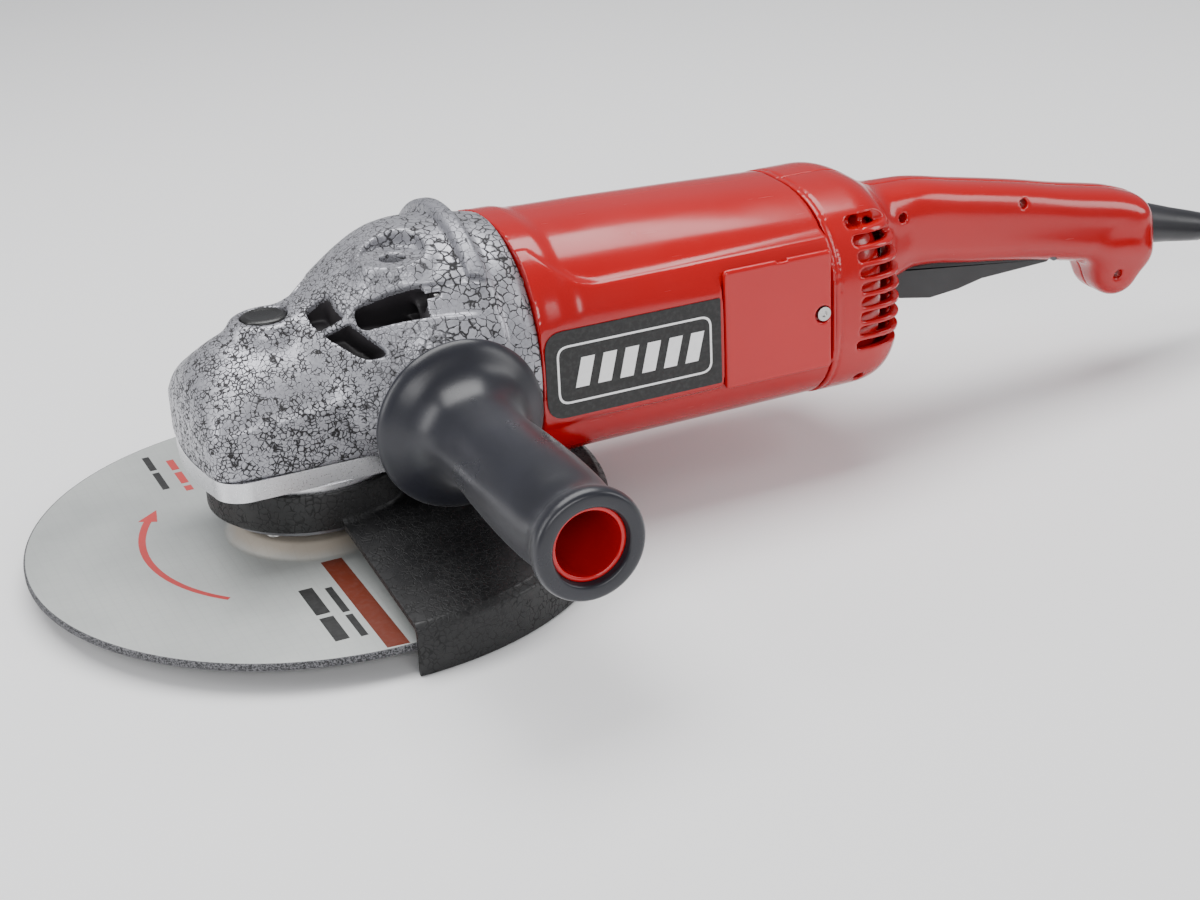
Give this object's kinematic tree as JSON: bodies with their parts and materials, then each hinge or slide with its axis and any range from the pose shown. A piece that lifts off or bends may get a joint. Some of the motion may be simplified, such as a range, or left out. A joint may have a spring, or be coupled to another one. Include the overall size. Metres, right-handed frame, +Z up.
{
  "type": "angle grinder",
  "caption": "Large two-handed angle grinder with a depressed-centre cutting disc, turning guard, bevel gear head, long rear grip and screw-in side handle.",
  "frame": {"origin": "centre of the spindle's free end", "axes": "+X along the motor from the disc towards the rear grip, +Z up along the spindle away from the disc, the side handle points to -Y"},
  "size_m": [0.7455, 0.2995, 0.1315],
  "materials": {
    "cast": "rough crackle-coated casting",
    "plate": "satin die-cast",
    "screw_steel": "zinc plated",
    "bearing_steel": "ground",
    "dark_steel": "blackened machined steel",
    "spring_steel": "drawn wire",
    "lamination": "stacked sheet",
    "copper": "enamelled wire and copper",
    "brass": "drawn brass",
    "carbon": "pressed carbon",
    "guard_black": "black textured powder coat",
    "disc": "bonded abrasive with a paper face",
    "red_plastic": "gloss",
    "red_cover": "gloss",
    "side_plate": "printed black with a white border",
    "black_plastic": "fine satin",
    "fan_plastic": "glass-filled nylon",
    "seal_rubber": "moulded",
    "grip_rubber": "satin slate grey",
    "cord_rubber": "satin black",
    "pin_metal": "nickel-plated brass"
  },
  "bodies": {
    "root": {"gear_housing": "cast", "gear_housing_screws": "screw_steel", "bearing_cover": "plate", "bearing_cover_screws": "screw_steel", "guard_retaining_ring": "dark_steel", "guard_ring_screws": "screw_steel", "spindle_bearing_outer": "bearing_steel", "spindle_top_bush": "bearing_steel", "spindle_dust_seal": "seal_rubber", "spindle_lock_spring": "spring_steel", "stator_core": "lamination", "stator_windings": "copper", "armature_front_bearing_outer": "bearing_steel", "armature_rear_bearing_outer": "bearing_steel", "air_baffle": "black_plastic", "motor_housing": "red_plastic", "side_plate_left": "side_plate", "side_plate_right": "side_plate", "brush_cover_left": "red_cover", "brush_cover_right": "red_cover", "brush_cover_screws": "screw_steel", "brush_holders": "brass", "carbon_brushes": "carbon", "brush_springs": "spring_steel", "rear_handle_left": "red_plastic", "rear_handle_right": "red_plastic", "rear_handle_screws": "screw_steel", "trigger_pin": "dark_steel", "switch_body": "black_plastic", "cord_clamp": "black_plastic", "strain_relief": "cord_rubber", "power_cord": "cord_rubber", "power_cord_tail": "cord_rubber", "cord_coil": "cord_rubber", "plug_body": "cord_rubber", "plug_pins": "pin_metal"},
    "spindle_set": {"spindle": "dark_steel", "spindle_key": "dark_steel", "spindle_circlip": "dark_steel", "crown_gear": "dark_steel", "disc_inner_flange": "dark_steel", "cutting_disc": "disc", "disc_lock_nut": "dark_steel", "spindle_bearing_inner": "bearing_steel"},
    "armature": {"armature_shaft": "dark_steel", "armature_core": "lamination", "armature_windings": "copper", "armature_commutator": "copper", "motor_fan": "fan_plastic", "motor_pinion": "dark_steel", "armature_front_bearing_inner": "bearing_steel", "armature_rear_bearing_inner": "bearing_steel"},
    "guard": {"disc_guard": "guard_black"},
    "lock_button": {"spindle_lock_button": "black_plastic", "spindle_lock_pin": "dark_steel"},
    "trigger": {"trigger": "black_plastic"},
    "switch_plunger": {"switch_plunger": "black_plastic"},
    "side_grip": {"side_handle_grip": "grip_rubber", "side_handle_tube": "red_cover", "side_handle_stud": "dark_steel"}
  },
  "joints": [
    {"name": "spindle_spin", "type": "hinge", "parent": "root", "child": "spindle_set", "pos_m": [0, 0, 0.07], "axis": [0, 0, 1], "continuous": true},
    {"name": "armature_spin", "type": "hinge", "parent": "root", "child": "armature", "pos_m": [0.05, 0, 0.07], "axis": [1, 0, 0], "continuous": true},
    {"name": "guard_turn", "type": "hinge", "parent": "root", "child": "guard", "pos_m": [0, 0, 0.03], "axis": [0, 0, 1], "range_deg": [-60, 60]},
    {"name": "spindle_lock_press", "type": "slide", "parent": "root", "child": "lock_button", "axis": [0, 0, -1], "range_m": [0, 0.005], "stiffness_N_per_m": 900, "springref_m": -0.004, "deforming": ["spindle_lock_spring"]},
    {"name": "trigger_squeeze", "type": "hinge", "parent": "root", "child": "trigger", "pos_m": [0.349, 0, 0.0575], "axis": [0, 1, 0], "range_deg": [0, 5.5], "stiffness_Nm_per_rad": 4, "springref_deg": -8.59},
    {"name": "switch_plunger_press", "type": "slide", "parent": "root", "child": "switch_plunger", "axis": [0, 0, 1], "range_m": [0, 0.005]},
    {"name": "side_handle_unscrew", "type": "hinge", "parent": "root", "child": "side_grip", "pos_m": [0.0434, -0.056, 0.0642], "axis": [0, -1, 0], "continuous": true}
  ],
  "couplings": [
    {"joint": "armature_spin", "follows": "spindle_spin", "ratio": 4.1},
    {"joint": "switch_plunger_press", "follows": "trigger_squeeze", "m_per_rad": 0.049}
  ]
}
